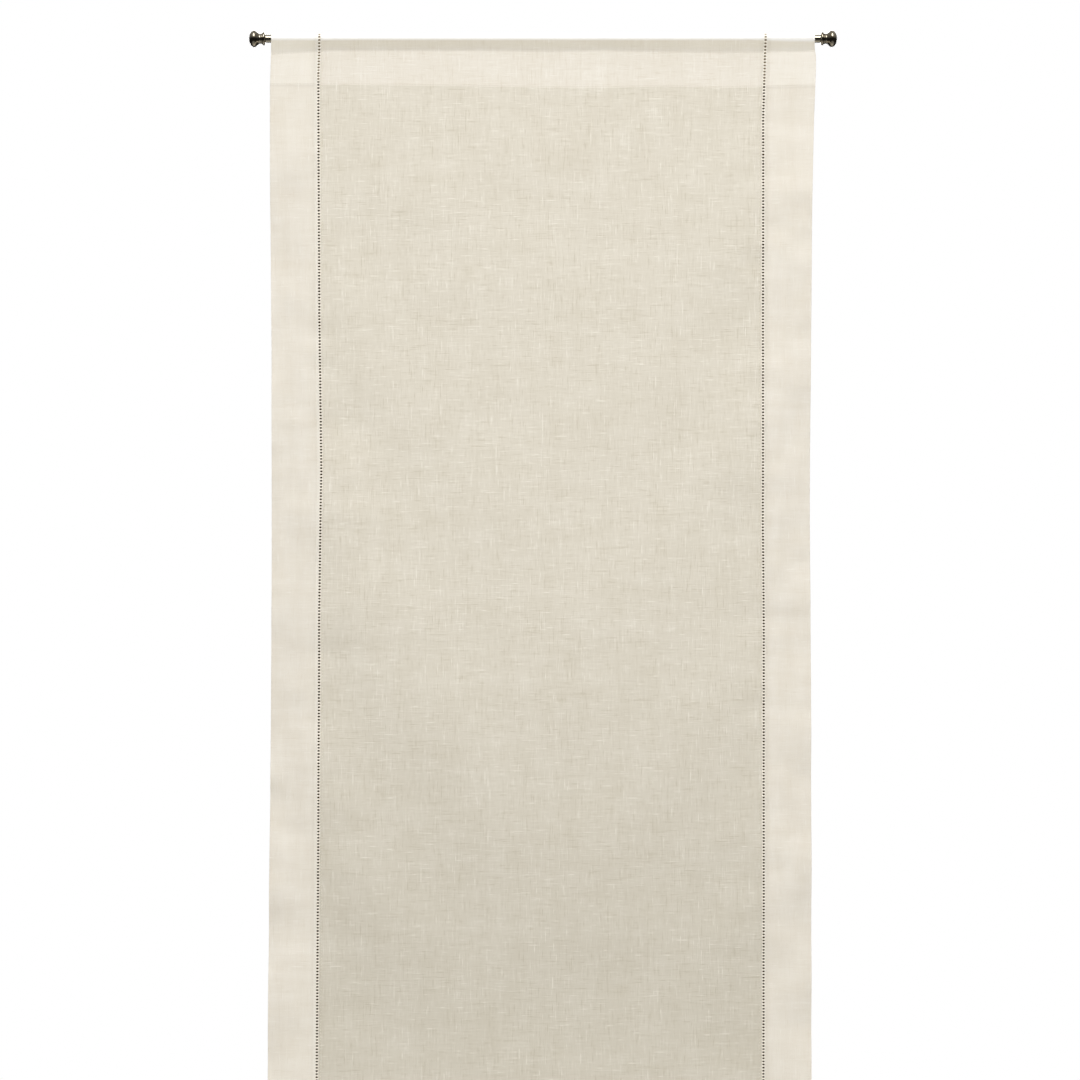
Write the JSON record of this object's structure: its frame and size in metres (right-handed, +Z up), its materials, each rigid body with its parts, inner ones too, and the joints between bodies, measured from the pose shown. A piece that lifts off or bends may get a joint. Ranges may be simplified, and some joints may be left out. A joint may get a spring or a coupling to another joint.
{
  "type": "rod pocket curtain panel",
  "caption": "Flat-hanging sheer linen curtain panel with hemstitched side borders and a rod pocket, on a slim metal rod with knob finials.",
  "frame": {"origin": "on the rod's axis, half way along the panel", "axes": "+X along the rod to the viewer's right, +Y away from the viewer to the wall or window, +Z up; the panel's front faces -Y and the panel hangs down -Z"},
  "size_m": [1.1554, 0.033, 2.1395],
  "materials": {
    "rod_metal": "satin",
    "finial_metal": "polished",
    "zinc_steel": "satin",
    "linen_single": "matte",
    "linen_folded": "matte",
    "hemstitch_thread": "matte",
    "sewing_thread": "matte"
  },
  "bodies": {
    "rod": {"rod_tube": "rod_metal", "rod_plug_left": "zinc_steel", "rod_plug_right": "zinc_steel"},
    "header": {"header_front": "linen_folded", "header_turnback": "linen_folded", "pocket_stitch_row": "sewing_thread", "header_stitch_row": "sewing_thread"},
    "panel": {"face_cloth": "linen_single", "border_left_front": "linen_folded", "border_left_turnback": "linen_folded", "border_right_front": "linen_folded", "border_right_turnback": "linen_folded", "hemstitch_left": "hemstitch_thread", "hemstitch_right": "hemstitch_thread", "bottom_hem_turnback": "linen_folded", "bottom_stitch_row": "sewing_thread"},
    "left_collar": {"finial_collar_left": "finial_metal"},
    "left_finial": {"finial_knob_left": "finial_metal", "finial_stud_left": "zinc_steel"},
    "right_collar": {"finial_collar_right": "finial_metal"},
    "right_finial": {"finial_knob_right": "finial_metal", "finial_stud_right": "zinc_steel"}
  },
  "joints": [
    {"name": "header_slide", "type": "slide", "parent": "rod", "child": "header", "axis": [1, 0, 0], "range_m": [-0.011, 0.011]},
    {"name": "panel_swing", "type": "hinge", "parent": "header", "child": "panel", "pos_m": [0, 0, -0.0937], "axis": [-1, 0, 0], "range_deg": [-15, 30]},
    {"name": "left_collar_slide", "type": "slide", "parent": "rod", "child": "left_collar", "axis": [-1, 0, 0], "range_m": [0, 0.007]},
    {"name": "left_finial_turn", "type": "hinge", "parent": "left_collar", "child": "left_finial", "pos_m": [-0.5517, 0, 0], "axis": [-1, 0, 0], "range_deg": [0, 2520]},
    {"name": "right_collar_slide", "type": "slide", "parent": "rod", "child": "right_collar", "axis": [1, 0, 0], "range_m": [0, 0.007]},
    {"name": "right_finial_turn", "type": "hinge", "parent": "right_collar", "child": "right_finial", "pos_m": [0.5517, 0, 0], "axis": [1, 0, 0], "range_deg": [0, 2520]}
  ],
  "couplings": [
    {"joint": "left_finial_turn", "follows": "left_collar_slide", "rad_per_m": 6283.1},
    {"joint": "right_finial_turn", "follows": "right_collar_slide", "rad_per_m": 6283.1}
  ]
}
